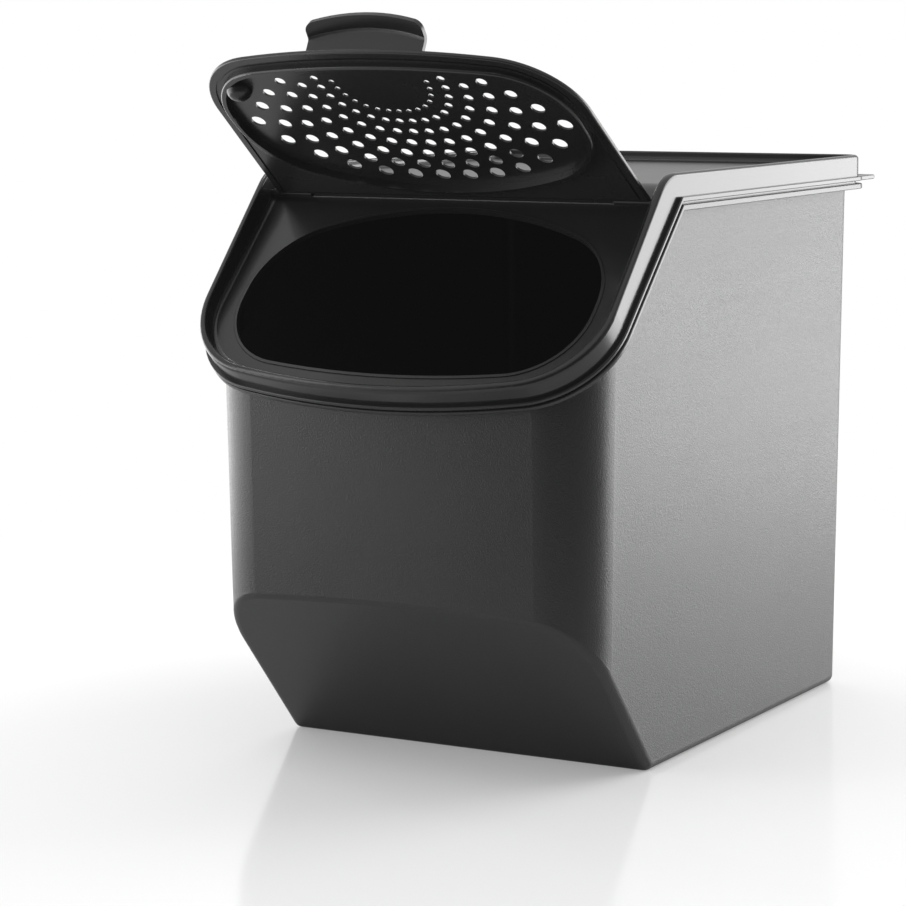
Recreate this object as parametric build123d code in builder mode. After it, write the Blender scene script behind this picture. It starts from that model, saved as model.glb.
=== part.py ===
# Potato storage bin: open-topped bin body, lift-off lid with a sloped filling
# opening, and a hinged, vented flap with a thumb tab.
# Millimetres, +Z up, front facing -Y, +X to the right.  The base stands on Z = 0.
# The flap is drawn standing open; the lid is drawn seated on the body.
from math import asin, atan2, cos, degrees, radians, sin, sqrt
import os

from build123d import *

os.makedirs("parts", exist_ok=True)

# ---------------------------------------------------------------- bin body
base_half_width = 86.8      # half width of the walls at the floor
back_y = 126.2              # rear wall at the floor
front_y = -130.4            # front wall, carried down to the floor level
draft = 0.85                # wall draft, degrees
front_corner_r = 23.0       # front upright corners
front_arc_r = 1000.0        # gentle bow of the front wall
back_corner_r = 4.5         # rear upright corners
wall = 2.2                  # wall thickness
floor_t = 2.6               # floor thickness
chamfer_y = -69.4           # where the lower front slope leaves the floor
chamfer_deg = 49.3          # its angle above the floor
chamfer_blend = 4.0         # blend round the lower front slope
base_blend = 3.5            # rounding round the floor

# ------------------------------------------------------------- mouth plane
mouth_z = 229.1             # underside of the body flange on the flat part
bend_y = -60.0              # where the mouth turns down the slope
slope_deg = 45.0            # slope of the front part of the mouth
flange_half_width = 97.2    # outer edge of the flange
flange_back_y = 135.6       # rear edge of the flange
flange_back_r = 11.0        # its rear corners
flange_front = 111.5        # front edge, measured down the slope from the bend
flange_corner_r = 40.2      # front corners, in the slope
flange_bow_r = 346.0        # bow of the front edge, in the slope
flange_t = 2.4              # flange thickness
edge_round = 0.6            # small rounding of the flange edges
inner_bend_r = 2.0          # rounding of the lower surfaces at the bend

# --------------------------------------------------------------------- lid
# Heights above the flange underside on the flat part; the flanges are thinner
# on the sloped part by slope_rate.
slope_rate = 0.883
seat_gap = 1.2              # groove left between the two flanges
lid_flange_t = 2.0          # lid flange thickness
rim_h = 15.2                # top of the raised rim
rim_slope_h = 19.0          # its height square to the slope, level with the bend
rim_tip_h = 13.3            # and at the front edge
rim_outer_in = 1.8          # rim outer face, in from the flange edge
rim_inner_in = 5.0          # rim inner face, in from the flange edge
land_in = 2.8               # outer face of the seating land, in from the edge
rim_bend_r = 20.0           # rounding where the rim turns down the slope
rim_outer_round = 1.9       # rounding of the rim top, outside and inside
rim_inner_round = 0.8
rim_foot_r = 2.4            # hollow where the rim rises from the panel
top_panel_h = 10.6          # top face of the flat panel
slope_panel_h = 8.6         # top face of the sloped panel, square to the slope
panel_t = 2.0               # panel thickness
panel_bend_r = 14.0         # rounding of the panel at the bend
skirt_gap = 0.5             # clearance of the locating skirt in the body
skirt_t = 1.6
skirt_depth = 5.0           # skirt reach below the flange underside
skirt_front_y = -105.0      # the skirt stops short of the front corners
grip_reach = 11.2           # rear grip, beyond the flange
grip_in = 1.2                # its ends, in from the flange edge
grip_corner_r = 3.0

# ------------------------------------------------- filling opening in the lid
open_half_width = 81.5
open_top = 10.5             # down the slope from the bend
open_bottom = 98.0
open_top_bow_r = 151.0
open_top_corner_r = 38.0
open_bottom_corner_r = 32.0
open_bottom_bow_r = 400.0
collar_w = 1.3              # raised edge round the opening
collar_h = 0.5
collar_round = 0.3

# -------------------------------------------------------------------- flap
axis_down = 5.2             # hinge axis, down the slope from the bend
axis_h = 10.8               # hinge axis, above the slope
flap_open_deg = 37.5        # angle of the standing flap above level
flap_side_gap = 3.9         # flap inside the rim, at the hinge
flap_taper = 2.1            # the flap narrows by this much each side
rear_reach = 1.7            # the plate runs on behind the axis
rear_step = 1.2             # its underside steps up this far before the axis
rear_t = 1.2                # thickness behind the step
flap_tip_gap = 2.1          # flap tip inside the rim
flap_corner_r = 35.3
flap_under = 0.9            # underside of the plate, below the hinge axis
flap_t = 2.0
flap_edge_round = 0.7
barrel_r = 1.5              # hinge barrels
barrel_len = 19.0
barrel_gap = 1.4            # barrel ends inside the rim
pin_r = 1.3                 # hinge pins in the lid rim
pin_clearance = 0.06        # radial
pin_reach = 2.0             # pin length inside the rim
pin_end_gap = 0.3
plug_gap = 0.4              # plug ring inside the opening
plug_h = 2.4                # plug ring height under the plate
plug_w = 2.4                # plug ring width
plug_round = 1.0            # rounding of the plug ring's free edge
grille_rise = 0.8           # underside of the grille, above the plate's
grille_t = 0.9
boss_x = -67.9              # round boss in the left end of the plug ring
boss_v = 74.7
boss_r = 5.4
boss_h = 5.4
boss_round = 5.0
border_in = 3.2             # groove along the plate's border, in from its edge
border_w = 1.2
border_deep = 0.5
tab_half_width = 26.5
tab_start = 97.7            # down the flap, where the tab leaves the plate
tab_turn = 76.5             # angle between flap and tab
tab_t = 1.9
tab_len = 10.7              # height of the fold line at its middle
tab_bow_r = 88.0            # the fold line is an arc
lip_len = 7.3
lip_turn = 59.5             # the lip bends back by this much
lip_bend_r = 2.6
lip_corner_r = 4.0
lip_round = 0.5

# Vent holes lie on rings about one centre near the flap tip, each ring a little
# squarer than an ellipse.  For each ring: its reach across and along, the hole
# diameter and the angle between its outermost holes.
vent_in = 6.7               # their centre, in from the plug ring's inner face
vent_margin = 0.4           # least land between a hole and the plug ring
vent_step = 11.3            # angle between neighbouring holes, degrees
vent_square = 2.45          # 2 is an ellipse, more is squarer
vent_rings = [
    (21.9, 23.4, 2.4, 159.2),
    (29.0, 30.2, 3.4, 172.5),
    (37.3, 37.3, 4.0, 159.2),
    (46.2, 44.9, 4.7, 170.0),
    (56.2, 52.2, 5.2, 156.0),
    (65.7, 59.5, 5.8, 143.8),
    (76.2, 66.7, 6.4, 132.4),
]

# ------------------------------------------------------------- derived frame
a = radians(slope_deg)
down = (0.0, -cos(a), -sin(a))          # down the slope
out = (0.0, -sin(a), cos(a))            # square to the slope, outward
reach = 300.0                           # longer than anything cut or clipped
overrun = 60.0                          # raw walls run on past the mouth by this


def slope_point(v, h):
    """Y and Z of a point v down the slope and h square to it."""
    return (bend_y + v * down[1] + h * out[1], mouth_z + v * down[2] + h * out[2])


hinge = slope_point(axis_down, axis_h)  # Y and Z of the hinge axis
rim_inner_half = flange_half_width - rim_inner_in

def slope_plane(h):
    """Plane parallel to the slope; its local y points up the slope."""
    y, z = slope_point(0.0, h)
    return Plane(origin=(0, y, z), x_dir=(1, 0, 0), z_dir=out)


def bowed_end(half, tip, corner, bow, side=-1):
    """Draw a bowed end from one side of the outline round to the other; its
    tip is at local y = tip and the bow swells towards side (-1 or +1).
    Returns the local y where the straight sides begin."""
    hx = half - corner
    yc = tip - side * bow + side * sqrt((bow - corner) ** 2 - hx ** 2)
    centre = tip - side * bow
    t = atan2(side * (yc - centre), hx)
    joint = (bow * cos(t), centre + side * bow * sin(t))
    mid = (hx + corner * cos(t / 2), yc + side * corner * sin(t / 2))
    ThreePointArc((half, yc), mid, joint)
    ThreePointArc(joint, (0, tip), (-joint[0], joint[1]))
    ThreePointArc((-joint[0], joint[1]), (-mid[0], mid[1]), (-half, yc))
    return yc


def wall_face(off):
    """Plan outline of the walls at the floor, moved in by off."""
    half, back, r = base_half_width - off, back_y - off, max(back_corner_r - off, 0.2)
    k = r * (1 - sqrt(0.5))
    with BuildLine() as edge:
        yc = bowed_end(half, front_y + off, front_corner_r - off, front_arc_r - off)
        Line((-half, yc), (-half, back - r))
        ThreePointArc((-half, back - r), (-half + k, back - k), (-half + r, back))
        Line((-half + r, back), (half - r, back))
        ThreePointArc((half - r, back), (half - k, back - k), (half, back - r))
        Line((half, back - r), (half, yc))
    make_face(edge.edges())


def sloped_outline(inset):
    """Front part of the rim outline, moved in by inset, in the slope plane."""
    half = flange_half_width - inset
    with BuildLine() as edge:
        yc = bowed_end(half, inset - flange_front, flange_corner_r - inset,
                       flange_bow_r - inset)
        Polyline((-half, yc), (-half, reach / 3), (half, reach / 3), (half, yc))
    make_face(edge.edges())


def flat_outline(inset):
    """Rear part of the rim outline, moved in by inset, drawn level."""
    half, back = flange_half_width - inset, flange_back_y - inset
    r = flange_back_r - inset
    k = r * (1 - sqrt(0.5))
    low = bend_y - reach / 3
    with BuildLine() as edge:
        Polyline((-half, back - r), (-half, low), (half, low), (half, back - r))
        ThreePointArc((half, back - r), (half - k, back - k), (half - r, back))
        Line((half - r, back), (-half + r, back))
        ThreePointArc((-half + r, back), (-half + k, back - k), (-half, back - r))
    make_face(edge.edges())


def opening_outline(inset, down_from=0.0):
    """Outline of the filling opening, moved in by inset; local y points up the
    slope and starts down_from below the bend."""
    half = open_half_width - inset
    with BuildLine() as edge:
        low = bowed_end(half, down_from - open_bottom + inset,
                        open_bottom_corner_r - inset, open_bottom_bow_r - inset)
        high = bowed_end(half, down_from - open_top - inset,
                         open_top_corner_r - inset, open_top_bow_r - inset, side=1)
        Line((half, low), (half, high))
        Line((-half, low), (-half, high))
    make_face(edge.edges())


def cut_profile(points, bend_r=0.0):
    """Cut a closed side profile (Y, Z) away across the whole width, with its
    first corner rounded."""
    with BuildSketch(Plane.YZ) as side:
        with BuildLine() as edge:
            Polyline(*points, close=True)
        make_face(edge.edges())
        if bend_r:
            fillet(side.vertices().sort_by_distance(points[0])[0], bend_r)
    extrude(side.sketch, amount=reach, both=True, mode=Mode.SUBTRACT)


def bent_profile(h, slope_h, tip_h=None):
    """Corner and foot (Y, Z) of a surface bent at the mouth's bend: h above the
    mouth on the flat part, slope_h above the slope, or running from slope_h at
    the bend to tip_h at the front edge."""
    fall = 0.0 if tip_h is None else (slope_h - tip_h) / flange_front
    v = (slope_h * cos(a) - h) / (sin(a) + fall * cos(a))
    return slope_point(v, slope_h - fall * v), slope_point(v + reach, slope_h - fall * (v + reach))


def keep_rear():
    """Cut away what lies in front of the joint between flat and slope."""
    low, high = joint_line(-reach), joint_line(reach)
    cut_profile([low, high, (-2 * reach, high[1]), (-2 * reach, low[1])])


def keep_front():
    """Cut away what lies behind the joint between flat and slope."""
    low, high = joint_line(-reach), joint_line(reach)
    cut_profile([low, high, (2 * reach, high[1]), (2 * reach, low[1])])


def cut_above(surface, bend_r=0.0):
    """Cut away everything above a bent surface (h, slope_h[, tip_h])."""
    corner, foot = bent_profile(*surface)
    cut_profile([corner, (reach, corner[1]), (reach, 2 * reach), (foot[0], 2 * reach), foot],
                bend_r)


def cut_below(surface, bend_r=0.0):
    """Cut away everything below a bent surface (h, slope_h[, tip_h])."""
    corner, foot = bent_profile(*surface)
    cut_profile([corner, (reach, corner[1]), (reach, -reach), (foot[0], -reach), foot],
                bend_r)


rim_top = (rim_h, rim_slope_h, rim_tip_h)
rim_corner = bent_profile(*rim_top)[0]


def joint_line(t):
    """Point of the joint between flat and slope, on the line from the bend
    through the corner of the rim top, t above or below the bend."""
    return (bend_y + t * (rim_corner[0] - bend_y) / rim_h, mouth_z + t)


def bent_prism(inset):
    """Tall prism inside the rim outline moved in by inset: upright at the rear,
    square to the slope in front."""
    with BuildPart() as rear:
        with BuildSketch(Plane.XY.offset(mouth_z - overrun)) as plan:
            flat_outline(inset)
        extrude(plan.sketch, amount=2 * overrun)
        keep_rear()
    with BuildPart() as front:
        with BuildSketch(slope_plane(-overrun)) as face:
            sloped_outline(inset)
        extrude(face.sketch, amount=2 * overrun)
        keep_front()
    return rear.part + front.part


def rim_edges(edges, surface, bend_r):
    """Those of the edges that run round the rim along a bent surface, without
    the ones across the bend."""
    corner, foot = (Vector(0, *p) for p in bent_profile(*surface))
    square = Vector(1, 0, 0).cross((foot - corner).normalized())
    half_bend = atan2(abs(square.Y), square.Z) / 2
    slack = 0.05 + 1.1 * bend_r * (1 / cos(half_bend) - 1)
    found = []
    for e in edges:
        across = e.geom_type == GeomType.LINE and abs(e.tangent_at(0).X) > 0.999
        if across and e.center().Y < 0:
            continue
        depths = []
        for t in (0.0, 0.25, 0.5, 0.75, 1.0):
            p = e.position_at(t) - corner
            depths.append(abs(min(-p.Z, -p.dot(square))))
        if max(depths) < slack:
            found.append(e)
    return found


def cut_chamfer(shift):
    """Cut the lower front away along its slope, moved in by shift."""
    c = radians(chamfer_deg)
    y0, z0 = chamfer_y + shift * sin(c), shift * cos(c)
    dy, dz = -cos(c) * reach, sin(c) * reach
    cut_profile([(y0 - dy, z0 - dz), (y0 + dy, z0 + dz), (y0 + dy, z0 - dz)])


def chamfer_edges(part, shift):
    """Edges round the lower front slope, without the one on the floor."""
    c = radians(chamfer_deg)
    p = Vector(0, chamfer_y + shift * sin(c), shift * cos(c))
    n = Vector(0, -sin(c), -cos(c))
    found = []
    for e in part.edges():
        ends = [e.position_at(t) for t in (0.0, 0.3, 0.7, 1.0)]
        if all(abs((q - p).dot(n)) < 1e-3 for q in ends) and ends[1].Z > floor_t + 1.5:
            found.append(e)
    return found


# -------------------------------------------------- building blocks of the rim
outer_prism = bent_prism(0.0)
rim_prism = bent_prism(rim_outer_in)
land_prism = bent_prism(land_in)
tray_prism = bent_prism(rim_inner_in)


def flange_level(h):
    """Bent surface h above the mouth."""
    return (h, h * slope_rate)


def flange_plate(low, high):
    """Bent flange plate between two heights above the mouth, edges rounded."""
    with BuildPart() as plate:
        add(outer_prism)
        cut_above(flange_level(high), inner_bend_r)
        cut_below(flange_level(low), inner_bend_r)
        fillet(rim_edges(plate.edges(), flange_level(high), inner_bend_r)
               + rim_edges(plate.edges(), flange_level(low), inner_bend_r), edge_round)
    return plate.part


# ------------------------------------------------------------ the bin's cavity
with BuildPart() as cavity:
    with BuildSketch(Plane.XY):
        wall_face(wall)
    extrude(amount=mouth_z + overrun, taper=-draft)
    cut_chamfer(wall)
    with BuildSketch(Plane.XY.offset(-1)):
        Rectangle(reach * 2, reach * 2)
    extrude(amount=1 + floor_t, mode=Mode.SUBTRACT)
    fillet(chamfer_edges(cavity.part, wall), chamfer_blend - wall)
    fillet(cavity.edges().filter_by_position(Axis.Z, floor_t - 0.01, floor_t + 0.01),
           base_blend - wall)

# ------------------------------------------------------------------ the body
with BuildPart() as body:
    with BuildSketch(Plane.XY):
        wall_face(0.0)
    extrude(amount=mouth_z + overrun, taper=-draft)
    cut_chamfer(0.0)
    fillet(chamfer_edges(body.part, 0.0), chamfer_blend)
    fillet(body.edges().filter_by_position(Axis.Z, -0.01, 0.01), base_blend)
    cut_above(flange_level(flange_t), inner_bend_r)
    add(flange_plate(0.0, flange_t))
    add(cavity.part, mode=Mode.SUBTRACT)
body.part.label = "body"
export_step(body.part, "parts/body.step")

# ------------------------------------------------------------------- the lid
lid_flange_low = flange_t + seat_gap
lid_flange_top = lid_flange_low + lid_flange_t

panel_top = (top_panel_h, slope_panel_h)
panel_low = (top_panel_h - panel_t, slope_panel_h - panel_t)
panel_mid = (top_panel_h - panel_t / 2, slope_panel_h - panel_t / 2)

with BuildPart() as rim:
    add(rim_prism)
    cut_above(rim_top, rim_bend_r)
    fillet(rim_edges(rim.edges(), rim_top, rim_bend_r), rim_outer_round)
    cut_below(flange_level(lid_flange_low), inner_bend_r)

# The land bears on the flat stretches of the body flange; its corner at the
# bend stays sharp, clear of the flange's rounded one.
with BuildPart() as land:
    add(land_prism)
    cut_above(flange_level(lid_flange_top), inner_bend_r)
    cut_below(flange_level(flange_t))

# The panel is what is left between the tray above it and the hollow below.
with BuildPart() as tray:
    add(tray_prism)
    cut_below(panel_top, panel_bend_r)
    fillet(rim_edges(tray.edges(), panel_top, panel_bend_r), rim_foot_r)

with BuildPart() as hollow:
    add(tray_prism)
    cut_above(panel_low, panel_bend_r - panel_t)

with BuildPart() as skirt:
    with BuildSketch(Plane.XY):
        wall_face(wall + skirt_gap)
    extrude(amount=mouth_z + overrun, taper=-draft)
    with BuildSketch(Plane.XY):
        wall_face(wall + skirt_gap + skirt_t)
    extrude(amount=mouth_z + overrun, taper=-draft, mode=Mode.SUBTRACT)
    cut_above(panel_mid, panel_bend_r - panel_t / 2)
    cut_below((-skirt_depth, -skirt_depth), inner_bend_r)
    cut_profile([(skirt_front_y, 0), (skirt_front_y, 2 * reach), (-reach, 2 * reach),
                 (-reach, 0)])

with BuildPart() as collar:
    with BuildSketch(slope_plane(slope_panel_h - panel_t / 2)):
        opening_outline(-collar_w)
    extrude(amount=collar_h + panel_t / 2)
    fillet(collar.faces().sort_by(Axis((0, 0, 0), out))[-1].edges(), collar_round)

with BuildPart() as grip:
    grip_length = grip_reach + flange_back_r + rim_inner_in
    grip_middle = flange_back_y + grip_reach - grip_length / 2
    with BuildSketch(Plane.XY.offset(mouth_z + lid_flange_low)):
        with Locations((0, grip_middle)):
            RectangleRounded(2 * (flange_half_width - grip_in), grip_length, grip_corner_r)
    extrude(amount=lid_flange_t)
    fillet(grip.faces().filter_by(Axis.Z).edges(), edge_round)

with BuildPart() as lid:
    add(flange_plate(lid_flange_low, lid_flange_top))
    add(grip.part)
    add(land.part)
    add(rim.part)
    add(tray.part, mode=Mode.SUBTRACT)
    fillet(rim_edges(lid.edges(Select.LAST), rim_top, rim_bend_r), rim_inner_round)
    add(hollow.part, mode=Mode.SUBTRACT)
    add(collar.part)
    add(skirt.part)
    with BuildSketch(slope_plane(-reach / 10)):
        opening_outline(0.0)
    extrude(amount=reach / 5, mode=Mode.SUBTRACT)
    socket_end = rim_inner_half + pin_reach + pin_end_gap
    with BuildSketch(Plane((-socket_end, *hinge), z_dir=(1, 0, 0))):
        Circle(pin_r + pin_clearance)
    extrude(amount=2 * socket_end, mode=Mode.SUBTRACT)
lid.part.label = "lid"
export_step(lid.part, "parts/lid.step")

# ------------------------------------------------------------------ the flap
# Local frame on the hinge axis: local y points from the tip to the hinge and
# local z is the side that faces up when the flap is shut.
f = radians(flap_open_deg)
flap_normal = (0, sin(f), cos(f))
flap_length = flange_front - rim_inner_in - flap_tip_gap - axis_down
flap_bow_r = flange_bow_r - rim_inner_in - flap_tip_gap


def flap_plane(h):
    """Plane parallel to the flap, h above the hinge axis."""
    y, z = hinge
    return Plane(origin=(0, y + h * sin(f), z + h * cos(f)), x_dir=(1, 0, 0),
                 z_dir=flap_normal)


def plate_outline(inset):
    """Outline of the flap plate, moved in by inset, tapering to its bowed tip."""
    wide = rim_inner_half - flap_side_gap - inset
    half = wide - flap_taper
    start = rear_reach - inset
    with BuildLine() as edge:
        yc = bowed_end(half, inset - flap_length, flap_corner_r - inset,
                       flap_bow_r - inset)
        Polyline((-half, yc), (-wide, start), (wide, start), (half, yc))
    make_face(edge.edges())


def flap_view(down_flap, above):
    """Y and Z of a point seen in the flap's side view from the hinge axis."""
    y, z = hinge
    return (y - down_flap * cos(f) + above * sin(f), z + down_flap * sin(f) + above * cos(f))


# The tab is swept round an arc: its plate stays flat and its fold line bows.
# Sketch frame: origin at the arc's centre, local x up the tab.
turn, bend = radians(tab_turn), radians(lip_turn)
plate_top, plate_mid = flap_t - flap_under, flap_t / 2 - flap_under
fold = (tab_start - sin(turn) * tab_t / 2 + cos(turn) * tab_len,
        plate_top + cos(turn) * tab_t / 2 + sin(turn) * tab_len)
centre = flap_view(fold[0] - cos(turn) * tab_bow_r, fold[1] - sin(turn) * tab_bow_r)
ahead = flap_view(fold[0], fold[1])
tab_up = (0, (ahead[0] - centre[0]) / tab_bow_r, (ahead[1] - centre[1]) / tab_bow_r)
tab_foot = tab_bow_r - tab_len - 2 * flap_t
sweep = degrees(asin(tab_half_width / tab_foot)) + 2
tab_plane = Plane(origin=(0, *centre), x_dir=tab_up, z_dir=(1, 0, 0))

with BuildPart() as tab:
    with BuildSketch(tab_plane.rotated((0, sweep, 0))):
        with BuildLine():
            FilletPolyline((tab_foot, 0), (tab_bow_r, 0),
                           (tab_bow_r + cos(bend) * lip_len, sin(bend) * lip_len),
                           radius=lip_bend_r)
        trace(line_width=tab_t)
    revolve(axis=Axis((0, *centre), tab_plane.y_dir), revolution_arc=2 * sweep)
    with BuildSketch(flap_plane(plate_mid)):
        Rectangle(2 * tab_half_width, reach)
    extrude(amount=reach, mode=Mode.INTERSECT)
    sides = [e for e in tab.edges() if abs(e.center().X) > tab_half_width - 0.01]
    corners = ShapeList(sides).sort_by(Axis((0, *centre), tab_up))[-2:]
    fillet(corners, lip_corner_r)

# Places of the vent holes: those that the grille field has room for.
ring_inset = plug_gap + plug_w
vent_v = open_bottom - axis_down - ring_inset - vent_in
vents = []
for across, along, hole, span in vent_rings:
    with BuildSketch() as field:
        opening_outline(ring_inset + hole / 2 + vent_margin, axis_down)
    room = field.face()
    steps = round(span / vent_step)
    for k in range(steps + 1):
        angle = radians((k / steps - 0.5) * span)
        squared = (abs(sin(angle)) / across) ** vent_square + (cos(angle) / along) ** vent_square
        r = squared ** (-1 / vent_square)
        x, v = r * sin(angle), vent_v - r * cos(angle)
        if room.is_inside((x, -v, 0)):
            vents.append((x, v, hole / 2))

with BuildPart() as boss:
    with BuildSketch(flap_plane(grille_rise - flap_under - boss_h)):
        with Locations((boss_x, -boss_v)):
            Circle(boss_r)
    extrude(amount=boss_h + grille_t / 2)
    fillet(boss.faces().sort_by(Axis((0, 0, 0), flap_normal))[0].edges(), boss_round)
    with BuildSketch(flap_plane(-overrun)):
        opening_outline(plug_gap + plug_w / 2, axis_down)
    extrude(amount=2 * overrun, mode=Mode.INTERSECT)

with BuildPart() as flap:
    along_normal = Axis((0, 0, 0), flap_normal)
    with BuildSketch(flap_plane(-flap_under)):
        plate_outline(0.0)
    extrude(amount=flap_t)
    by_height = flap.faces().sort_by(along_normal)
    fillet(by_height[0].edges() + by_height[-1].edges(), flap_edge_round)
    # fine groove round the underside, inside the plate's edge
    with BuildSketch(flap_plane(-flap_under)):
        plate_outline(border_in)
    extrude(amount=border_deep, mode=Mode.SUBTRACT)
    with BuildSketch(flap_plane(-flap_under)):
        plate_outline(border_in + border_w)
    extrude(amount=flap_t / 2)
    # step along the rear edge
    with BuildSketch(flap_plane(-flap_under)):
        with Locations((0, reach / 2 - rear_step)):
            Rectangle(reach, reach)
    extrude(amount=flap_t - rear_t, mode=Mode.SUBTRACT)
    # plug ring round the grille
    with BuildSketch(flap_plane(-flap_under - plug_h)):
        opening_outline(plug_gap, axis_down)
    extrude(amount=plug_h + flap_t / 2)
    fillet(flap.faces().sort_by(along_normal)[0].edges(), plug_round)
    with BuildSketch(flap_plane(-flap_under - plug_h)):
        opening_outline(ring_inset, axis_down)
    extrude(amount=plug_h + grille_rise, mode=Mode.SUBTRACT)
    with BuildSketch(flap_plane(grille_t + grille_rise - flap_under)):
        opening_outline(ring_inset, axis_down)
    extrude(amount=2 * flap_t, mode=Mode.SUBTRACT)
    add(boss.part)
    # grille of vent holes
    with BuildSketch(flap_plane(-flap_under - plug_h)):
        for x, v, r in vents:
            with Locations((x, -v)):
                Circle(r)
    extrude(amount=plug_h + 2 * flap_t, mode=Mode.SUBTRACT)
    add(tab.part)
    # hinge barrels and pins
    barrel_out = rim_inner_half - barrel_gap
    for side in (-1, 1):
        outward = (side, 0, 0)
        with BuildSketch(Plane((side * (barrel_out - barrel_len), *hinge), z_dir=outward)):
            Circle(barrel_r)
        extrude(amount=barrel_len)
        with BuildSketch(Plane((side * barrel_out, *hinge), z_dir=outward)):
            Circle(pin_r)
        extrude(amount=barrel_gap + pin_reach)
flap.part.label = "flap"
export_step(flap.part, "parts/flap.step")
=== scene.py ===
"""Potato storage bin: finishes, floor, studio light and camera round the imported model.

Metres, +Z up, the bin's front faces -Y and its base stands on z = 0.
"""
from math import cos, pi, radians, sin

import bmesh
import bpy
from mathutils import Matrix, Vector

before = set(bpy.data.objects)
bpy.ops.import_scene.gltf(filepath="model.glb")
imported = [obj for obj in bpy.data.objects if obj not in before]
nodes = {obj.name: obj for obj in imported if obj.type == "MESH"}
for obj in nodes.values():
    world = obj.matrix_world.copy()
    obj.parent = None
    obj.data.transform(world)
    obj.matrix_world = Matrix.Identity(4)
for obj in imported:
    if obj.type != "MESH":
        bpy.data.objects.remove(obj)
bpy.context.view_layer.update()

MM = 0.001

# The bin's own landmarks, in metres
BEND = (-60.0 * MM, 229.1 * MM)             # Y and Z where the flange's underside bends
SLOPE = radians(45.0)                       # the flange's slope in front of the bend
FLANGE_BLEND = 0.3 * MM                     # from the grain to the flange's polish
SCUFF_HIGH, SCUFF_LOW = 12.0 * MM, 1.0 * MM  # the foot's scuff fades in downwards
RIM_INNER_HALF = 92.2 * MM                  # half width inside the lid's rim
RIM_INNER_FRONT = 106.5 * MM                # from the bend down to the rim's inside
RIM_INNER_RADIUS = 35.2 * MM                # inside the rim's front corners
RIM_BOW_RADIUS = 346.0 * MM                 # of the rim's bowed front
RIM_BLEND = 0.6 * MM                        # from the rim's polish to the panels' satin
FLAP_HINGE = (-71.314 * MM, 233.060 * MM)   # Y and Z of the hinge axis
FLAP_OPEN = radians(37.5)                   # the stored flap's angle above level
EJECTOR = (78.0 * MM, 12.0 * MM)            # marks: aside, and from the hinge axis
EJECTOR_EDGE = (2.9 * MM, 3.1 * MM)         # radius inside and outside a mark's edge

# The plastics: dark and light ends of each colour, roughness, depth of the relief,
# and how many blotches (clouds) or specks of the noise go into a metre
BODY_DARK, BODY_LIGHT = (0.0150, 0.0150, 0.0155), (0.0205, 0.0205, 0.0210)
LID_DARK, LID_LIGHT = (0.0100, 0.0100, 0.0102), (0.0140, 0.0140, 0.0142)
PLASTIC_IOR = 1.49
BODY_GRAINED, BODY_POLISHED = 0.355, 0.24
LID_POLISHED, LID_SATIN_ADDED = 0.20, 0.12
FLAP_SATIN = 0.27
GRAIN_SIZE, GRAIN_DEPTH = 0.62 * MM, 0.14 * MM
SATIN_DEPTH = 0.012 * MM
EJECTOR_DEPTH = 0.05 * MM
BODY_CLOUDS, BODY_SPECKS, BODY_SCUFFS = 14.0, 900.0, 60.0
LID_CLOUDS, LID_SPECKS = 22.0, 1500.0
BODY_CLOUD_ROUGH, BODY_SPECK_ROUGH, BODY_SCUFF_POLISH = 0.05, 0.12, 0.08
LID_CLOUD_ROUGH, FLAP_CLOUD_ROUGH = 0.05, 0.06

# The studio's levels, where 1 is white in the picture
STRAY_LIGHT = 0.0042                        # stands in for stray light in the lens
CEILING = 0.95
CEILING_FROM = (0.35, 0.85)                 # upward part of the direction
DARK_WALL = 0.10                            # on the side of the camera
LEFT_FILL, LEFT_WALL = 0.64, 3.2
RIGHT_FILL, RIGHT_REAR = 0.20, 0.60
# Degrees round from the front over which each wall comes in, or goes out again
LEFT_FILL_IN = (14.0, 34.0)
LEFT_WALL_IN, LEFT_WALL_OUT = (38.0, 56.0), (110.0, 150.0)
LEFT_WALL_TOP = (0.32, 0.05)                # upward part of the direction
RIGHT_FILL_IN, RIGHT_REAR_IN = (60.0, 100.0), (95.0, 140.0)

FLOOR_RADIUS = 0.60
FLOOR_SIDES = 96
FLOOR_FADE = 0.34                           # the floor turns plain white from here
FLOOR_EDGE = 0.96                           # and is plain white at this part of its radius
FLOOR_DOWN = 0.2 * MM                       # below the bin's base
FLOOR_WHITE = 0.84
FLOOR_ROUGHNESS = 0.12
FLOOR_IOR = 1.45
FLOOR_LIFT = 0.235

# name, centre, target, size (metres) and radiance
SOFTBOXES = (
    ("right_rear_softbox", (0.76, 1.07, 0.25), (0.0, 0.0, 0.14), (0.88, 1.25), 5.1),
    ("front_left_softbox", (-1.05, -1.15, 0.75), (0.0, -0.14, 0.16), (0.24, 0.90), 3.2),
    ("top_left_softbox", (-0.85, 0.08, 1.52), (0.0, -0.14, 0.16), (0.15, 0.15), 13.0),
)


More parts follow.
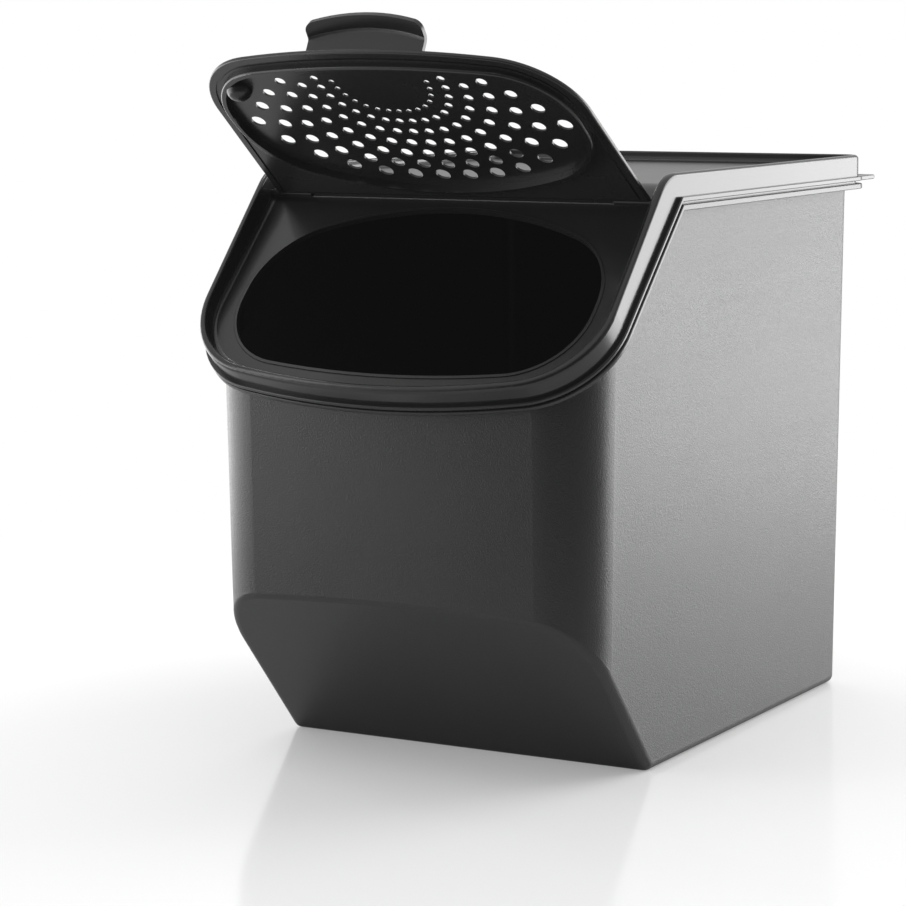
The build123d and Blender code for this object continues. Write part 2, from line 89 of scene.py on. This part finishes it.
# ------------------------------------------------------------- shader writing
class Value:
    """A shader socket that takes part in Python arithmetic."""

    def __init__(self, tree, socket):
        self.tree, self.socket = tree, socket

    def output(self, name):
        """Another output of the same node."""
        return Value(self.tree, self.socket.node.outputs[name])

    def math(self, operation, *items):
        """A Math node; items that are left out stay as the node has them."""
        inputs = dict(enumerate(items))
        return self.tree.node("ShaderNodeMath", {"operation": operation}, inputs)

    def __add__(self, other):
        return self.math("ADD", self, other)

    def __sub__(self, other):
        return self.math("SUBTRACT", self, other)

    def __rsub__(self, other):
        return self.math("SUBTRACT", other, self)

    def __mul__(self, other):
        return self.math("MULTIPLY", self, other)

    def __truediv__(self, other):
        return self.math("DIVIDE", self, other)

    def __rtruediv__(self, other):
        return self.math("DIVIDE", other, self)

    def __neg__(self):
        return self.math("MULTIPLY", self, -1.0)

    def __abs__(self):
        return self.math("ABSOLUTE", self)

    __radd__ = __add__
    __rmul__ = __mul__

    def sqrt(self):
        return self.math("SQRT", self)

    def least(self, other):
        return self.math("MINIMUM", self, other)

    def most(self, other):
        return self.math("MAXIMUM", self, other)

    def step(self, low, high):
        """0 at low, 1 at high and smooth between; low may lie above high."""
        falls = low > high
        ends = (high, low, 1.0, 0.0) if falls else (low, high, 0.0, 1.0)
        return self.tree.node("ShaderNodeMapRange", {"interpolation_type": "SMOOTHSTEP"},
                              {0: self, 1: ends[0], 2: ends[1], 3: ends[2], 4: ends[3]})


class Tree:
    """A node tree that is written in expressions."""

    def __init__(self, tree):
        self.tree = tree
        tree.nodes.clear()

    def node(self, kind, settings=None, inputs=None, out=0):
        """Add a node; inputs go by name or place and take a value or a socket."""
        node = self.tree.nodes.new(kind)
        for name, value in (settings or {}).items():
            setattr(node, name, value)
        for name, value in (inputs or {}).items():
            slot = node.inputs[name]
            if isinstance(value, Value):
                self.tree.links.new(value.socket, slot)
            else:
                slot.default_value = value
        return Value(self, node.outputs[out]) if node.outputs else None

    def coordinates(self, kind="Object"):
        """The coordinates as a vector, and each of them as a value."""
        here = self.node("ShaderNodeTexCoord", out=kind)
        x = self.node("ShaderNodeSeparateXYZ", inputs={0: here})
        return here, x, x.output("Y"), x.output("Z")

    def noise(self, vector, scale, detail=2.0, roughness=0.5):
        return self.node("ShaderNodeTexNoise", inputs={
            "Vector": vector, "Scale": scale, "Detail": detail, "Roughness": roughness})

    def blend(self, factor, first, second):
        """A colour between first and second."""
        return self.node("ShaderNodeMix", {"data_type": "RGBA"},
                         {0: factor, 6: (*first, 1.0), 7: (*second, 1.0)}, out=2)

    def bump(self, height, distance):
        return self.node("ShaderNodeBump", inputs={"Height": height, "Distance": distance})

    def mix_shader(self, factor, first, second):
        return self.node("ShaderNodeMixShader", inputs={0: factor, 1: first, 2: second})

    def plastic(self, colour, roughness, normal):
        """Moulded plastic, with the studio's stray light as a faint lift."""
        self.finish(self.node("ShaderNodeBsdfPrincipled", inputs={
            "Base Color": colour, "Roughness": roughness, "Normal": normal,
            "IOR": PLASTIC_IOR, "Emission Color": (1.0, 1.0, 1.0, 1.0),
            "Emission Strength": STRAY_LIGHT}))

    def finish(self, shader, target="ShaderNodeOutputMaterial"):
        self.node(target, inputs={"Surface": shader})


def material(name):
    made = bpy.data.materials.new(name)
    made.use_nodes = True
    return made, Tree(made.node_tree)


def wear(obj, made):
    """Give an object one material."""
    obj.data.materials.clear()
    obj.data.materials.append(made)


# ------------------------------------------------------------------- finishes
def body_finish():
    """Charcoal plastic with a fine matt grain, polished round the mouth's flange."""
    made, tree = material("body_plastic_grained")
    here, x, y, z = tree.coordinates()
    cloud = tree.noise(here, BODY_CLOUDS, detail=3.0)
    speck = tree.noise(here, BODY_SPECKS, detail=1.0)
    # 1 on the flange, which is all that lies above the bent plane of its underside
    over_slope = (z - BEND[1]) * cos(SLOPE) - (y - BEND[0]) * sin(SLOPE)
    flange = (z - BEND[1]).most(over_slope).step(-FLANGE_BLEND, 0.0)
    # spark-eroded mould texture, with grains of about half a millimetre
    grain = tree.noise(here, 1.0 / GRAIN_SIZE, detail=2.0, roughness=0.6)
    normal = tree.bump(grain * (1.0 - flange), GRAIN_DEPTH)
    tone = (cloud + (speck - 0.5) * 0.6).step(0.2, 0.8)
    colour = tree.blend(tone, BODY_DARK, BODY_LIGHT)
    foot = z.step(SCUFF_HIGH, SCUFF_LOW)
    scuff = tree.noise(here, BODY_SCUFFS, detail=4.0).step(0.60, 0.78) * foot
    grained = (BODY_GRAINED + (cloud - 0.5) * BODY_CLOUD_ROUGH
               - scuff * BODY_SCUFF_POLISH + (speck - 0.5) * BODY_SPECK_ROUGH)
    rough = grained + flange * (BODY_POLISHED - grained)
    tree.plastic(colour, rough, normal)
    return made


def lid_finish():
    """Black plastic: satin on the panels, polished on the rim and flange but for
    their rear."""
    made, tree = material("lid_plastic_satin")
    here, x, y, z = tree.coordinates()
    cloud = tree.noise(here, LID_CLOUDS, detail=3.0)
    speck = tree.noise(here, LID_SPECKS, detail=1.0)
    # 1 inside the rim's walls and 0 out on the rim, along its sides and front
    down = -(y - BEND[0]) * cos(SLOPE) - (z - BEND[1]) * sin(SLOPE)
    bowed = down + x * x / (2.0 * RIM_BOW_RADIUS)
    aside = (abs(x) - (RIM_INNER_HALF - RIM_INNER_RADIUS)).most(0.0)
    ahead = (bowed - (RIM_INNER_FRONT - RIM_INNER_RADIUS)).most(0.0)
    inner = (aside * aside + ahead * ahead).sqrt().step(
        RIM_INNER_RADIUS, RIM_INNER_RADIUS - RIM_BLEND)
    colour = tree.blend(cloud.step(0.3, 0.7), LID_DARK, LID_LIGHT)
    rough = LID_POLISHED + inner * LID_SATIN_ADDED + (cloud - 0.5) * LID_CLOUD_ROUGH
    normal = tree.bump(speck * inner, SATIN_DEPTH)
    tree.plastic(colour, rough, normal)
    return made


def flap_finish():
    """Black satin plastic with faint ejector marks near the hinge."""
    made, tree = material("flap_plastic_satin")
    here, x, y, z = tree.coordinates()
    cloud = tree.noise(here, LID_CLOUDS, detail=3.0)
    colour = tree.blend(cloud.step(0.3, 0.7), LID_DARK, LID_LIGHT)
    rough = FLAP_SATIN + (cloud - 0.5) * FLAP_CLOUD_ROUGH
    along = (FLAP_HINGE[0] - y) * cos(FLAP_OPEN) + (z - FLAP_HINGE[1]) * sin(FLAP_OPEN)
    off_x, off_s = abs(x) - EJECTOR[0], along - EJECTOR[1]
    mark = (off_x * off_x + off_s * off_s).sqrt().step(*EJECTOR_EDGE)
    normal = tree.bump(mark, EJECTOR_DEPTH)
    tree.plastic(colour, rough, normal)
    return made


wear(nodes["body"], body_finish())
wear(nodes["lid"], lid_finish())
wear(nodes["flap"], flap_finish())


# ---------------------------------------------------------------------- stage
def floor():
    """White glossy table top, fading to the white background."""
    shape = bmesh.new()
    bmesh.ops.create_circle(shape, cap_ends=True, segments=FLOOR_SIDES, radius=FLOOR_RADIUS)
    mesh = bpy.data.meshes.new("table_top")
    shape.to_mesh(mesh)
    shape.free()
    obj = bpy.data.objects.new("table_top", mesh)
    bpy.context.scene.collection.objects.link(obj)
    obj.location.z = -FLOOR_DOWN
    made, tree = material("table_white")
    here, x, y, z = tree.coordinates()
    matt = tree.node("ShaderNodeBsdfPrincipled", inputs={
        "Base Color": (FLOOR_WHITE, FLOOR_WHITE, FLOOR_WHITE, 1.0),
        "Roughness": FLOOR_ROUGHNESS, "IOR": FLOOR_IOR})
    lift = tree.node("ShaderNodeEmission", inputs={"Strength": FLOOR_LIFT})
    lit = tree.node("ShaderNodeAddShader", inputs={0: matt, 1: lift})
    white = tree.node("ShaderNodeEmission", inputs={"Strength": 1.0})
    edge = (x * x + y * y).sqrt().step(FLOOR_FADE, FLOOR_RADIUS * FLOOR_EDGE)
    seen = tree.node("ShaderNodeLightPath", out="Is Camera Ray")
    tree.finish(tree.mix_shader(seen, matt, tree.mix_shader(edge, lit, white)))
    wear(obj, made)


def softbox(name, centre, target, size, strength):
    """Rectangular area light of one radiance, facing a target."""
    data = bpy.data.lights.new(name, "AREA")
    data.shape = "RECTANGLE"
    data.size, data.size_y = size
    data.energy = strength * size[0] * size[1] * pi
    lamp = bpy.data.objects.new(name, data)
    aim = Vector(target) - Vector(centre)
    lamp.rotation_euler = aim.to_track_quat("-Z", "Y").to_euler()
    lamp.location = centre
    bpy.context.scene.collection.objects.link(lamp)
    lamp.visible_camera = False


def studio():
    """White studio with bright walls at the left and the right rear and a dark
    one on the side of the camera; plain white where it is seen directly."""
    world = bpy.data.worlds.new("studio")
    bpy.context.scene.world = world
    world.use_nodes = True
    tree = Tree(world.node_tree)
    aim, dx, dy, dz = tree.coordinates("Generated")
    # degrees round from the front, to each side
    round_right = dx.math("ARCTAN2", dx, -dy) * (180.0 / pi)
    round_left = -round_right
    left_span = round_left.step(*LEFT_WALL_IN) - round_left.step(*LEFT_WALL_OUT)
    left_wall = left_span * dz.step(*LEFT_WALL_TOP)
    walls = (DARK_WALL
             + round_left.step(*LEFT_FILL_IN) * LEFT_FILL
             + left_wall * LEFT_WALL
             + round_right.step(*RIGHT_FILL_IN) * RIGHT_FILL
             + round_right.step(*RIGHT_REAR_IN) * RIGHT_REAR)
    room = walls + (CEILING - walls) * dz.step(*CEILING_FROM)
    seen = tree.node("ShaderNodeLightPath", out="Is Camera Ray")
    direct = (seen + seen.output("Is Transmission Ray")).least(1.0)
    strength = room + (1.0 - room) * direct
    white = tree.node("ShaderNodeBackground",
                      inputs={"Color": (1.0, 1.0, 1.0, 1.0), "Strength": strength})
    tree.finish(white, "ShaderNodeOutputWorld")
    for one in SOFTBOXES:
        softbox(*one)


# --------------------------------------------------------------------- camera
PICTURE = 906                               # width and height in pixels
CAMERA_AT = (0.61135, -1.13704, 0.29993)
CAMERA_AZIMUTH = radians(29.214)
CAMERA_DOWN = radians(7.957)
CAMERA_ROLL = radians(-0.312)
FOCAL_PX = 2974.52
AXIS_PX = (493.39, 448.87)                  # where the lens axis meets the picture
SENSOR = 36.0                               # its width in millimetres
CLIP_START = 0.05


def camera():
    data = bpy.data.cameras.new("camera")
    data.sensor_width = SENSOR
    data.lens = FOCAL_PX / PICTURE * SENSOR
    data.shift_x = (PICTURE / 2 - AXIS_PX[0]) / PICTURE
    data.shift_y = (AXIS_PX[1] - PICTURE / 2) / PICTURE
    data.clip_start = CLIP_START
    level = cos(CAMERA_DOWN)
    ahead = Vector((-sin(CAMERA_AZIMUTH) * level, cos(CAMERA_AZIMUTH) * level,
                    -sin(CAMERA_DOWN)))
    right = Vector((cos(CAMERA_AZIMUTH), sin(CAMERA_AZIMUTH), 0.0))
    up = right.cross(ahead)
    turned_right = right * cos(CAMERA_ROLL) + up * sin(CAMERA_ROLL)
    turned_up = up * cos(CAMERA_ROLL) - right * sin(CAMERA_ROLL)
    obj = bpy.data.objects.new("camera", data)
    axes = Matrix((turned_right, turned_up, -ahead)).transposed()
    obj.matrix_world = Matrix.Translation(CAMERA_AT) @ axes.to_4x4()
    bpy.context.scene.collection.objects.link(obj)
    bpy.context.scene.camera = obj


floor()
studio()
camera()
bpy.context.scene.view_settings.view_transform = "Standard"
